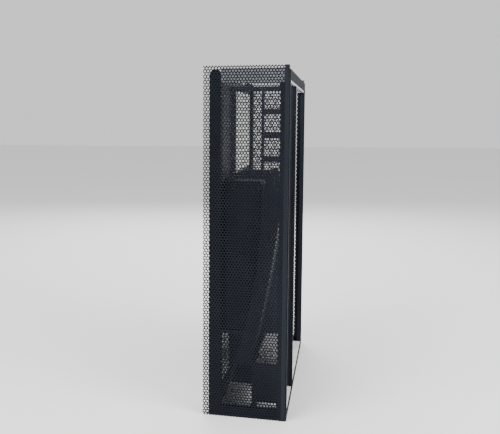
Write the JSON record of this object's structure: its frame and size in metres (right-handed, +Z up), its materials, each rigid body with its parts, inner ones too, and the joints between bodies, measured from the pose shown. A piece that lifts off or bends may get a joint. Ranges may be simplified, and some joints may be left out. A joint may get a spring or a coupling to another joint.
{
  "type": "internal power filter",
  "caption": "Tall black in-tank filter module: honeycomb screens, dividing wall, cross wall, lift-out media carrier, and a small pump feeding a swivelling nozzle.",
  "frame": {"origin": "on the underside of the floor tray, midway along the module's depth and between the screens' free edge and the glass face", "axes": "+Z up, -Y to the tank's front, +X towards the tank's end glass"},
  "size_m": [0.0777, 0.19, 0.262],
  "materials": {
    "black_plastic": "satin moulded, faint flow texture",
    "smoke_plastic": "smoke tinted, satin",
    "milky_plastic": "natural translucent white",
    "black_rubber": "matt",
    "grey_rubber": "matt",
    "coated_sheet": "black powder coat on perforated sheet",
    "rail_metal": "satin black",
    "open_cell_foam": "open cells",
    "carbon_cloth": "woven mesh bag over black granules",
    "media_net": "white net over ceramic rings",
    "pump_plastic": "satin gloss",
    "dial_plastic": "grey",
    "impeller_plastic": "white",
    "magnet": "sintered",
    "ceramic_shaft": "polished",
    "core_steel": "laminated",
    "copper_winding": "enamelled",
    "screw_steel": "bright",
    "hose_plastic": "ribbed"
  },
  "bodies": {
    "housing": {"front_screen": "coated_sheet", "rear_screen": "coated_sheet", "skimmer_grille": "milky_plastic", "floor_tray": "milky_plastic", "bottom_seal": "black_rubber", "partition_wall": "black_plastic", "front_edge_seal": "black_rubber", "rear_edge_seal": "black_rubber", "lower_intake_grille": "milky_plastic", "front_rail": "rail_metal", "rear_rail": "rail_metal", "side_seal": "black_rubber", "top_frame": "smoke_plastic", "baffle": "black_plastic", "baffle_seal": "black_rubber", "media_stand": "black_plastic", "motor_housing": "pump_plastic", "back_plate": "pump_plastic", "cord_gland": "black_rubber", "stator_core": "core_steel", "coil": "copper_winding", "volute_cover": "pump_plastic", "seal_ring": "black_rubber", "volute_screws": "screw_steel", "front_bush": "grey_rubber", "rear_bush": "grey_rubber", "impeller_shaft": "ceramic_shaft", "suction_cups": "grey_rubber", "outlet_adapter": "pump_plastic", "riser_hose": "hose_plastic", "hose_clips": "dial_plastic", "nozzle_elbow": "pump_plastic", "wall_grommet": "black_rubber", "lock_collar": "pump_plastic"},
    "carrier": {"media_carrier": "black_plastic", "foam_block": "open_cell_foam", "carbon_bag": "carbon_cloth"},
    "handle": {"carrier_handle": "black_plastic"},
    "upper_bag": {"upper_bio_bag": "media_net"},
    "lower_bag": {"lower_bio_bag": "media_net"},
    "rotor": {"impeller": "impeller_plastic", "rotor_magnet": "magnet"},
    "dial": {"flow_dial": "dial_plastic"},
    "swivel": {"nozzle_swivel": "pump_plastic"},
    "tip": {"nozzle_tip": "pump_plastic"}
  },
  "joints": [
    {"name": "carrier_lift", "type": "slide", "parent": "housing", "child": "carrier", "axis": [0, 0, 1], "range_m": [0, 0.255]},
    {"name": "handle_fold", "type": "hinge", "parent": "carrier", "child": "handle", "pos_m": [0.016, -0.0605, 0.1812], "axis": [0, 1, 0], "range_deg": [0, 90]},
    {"name": "upper_bag_slide", "type": "slide", "parent": "housing", "child": "upper_bag", "axis": [1, 0, 0], "range_m": [0, 0.05]},
    {"name": "lower_bag_slide", "type": "slide", "parent": "housing", "child": "lower_bag", "axis": [1, 0, 0], "range_m": [0, 0.05]},
    {"name": "impeller_spin", "type": "hinge", "parent": "housing", "child": "rotor", "pos_m": [0, 0.034, 0.038], "axis": [0, 1, 0], "continuous": true},
    {"name": "dial_turn", "type": "hinge", "parent": "housing", "child": "dial", "pos_m": [0, 0.01955, 0.038], "axis": [0, -1, 0], "range_deg": [0, 45]},
    {"name": "nozzle_turn", "type": "hinge", "parent": "housing", "child": "swivel", "pos_m": [-0.0305, 0.028, 0.158], "axis": [-1, 0, 0], "range_deg": [-90, 90]},
    {"name": "nozzle_tilt", "type": "hinge", "parent": "swivel", "child": "tip", "pos_m": [-0.0368, 0.028, 0.158], "axis": [0, 0, 1], "range_deg": [-20, 20]}
  ]
}
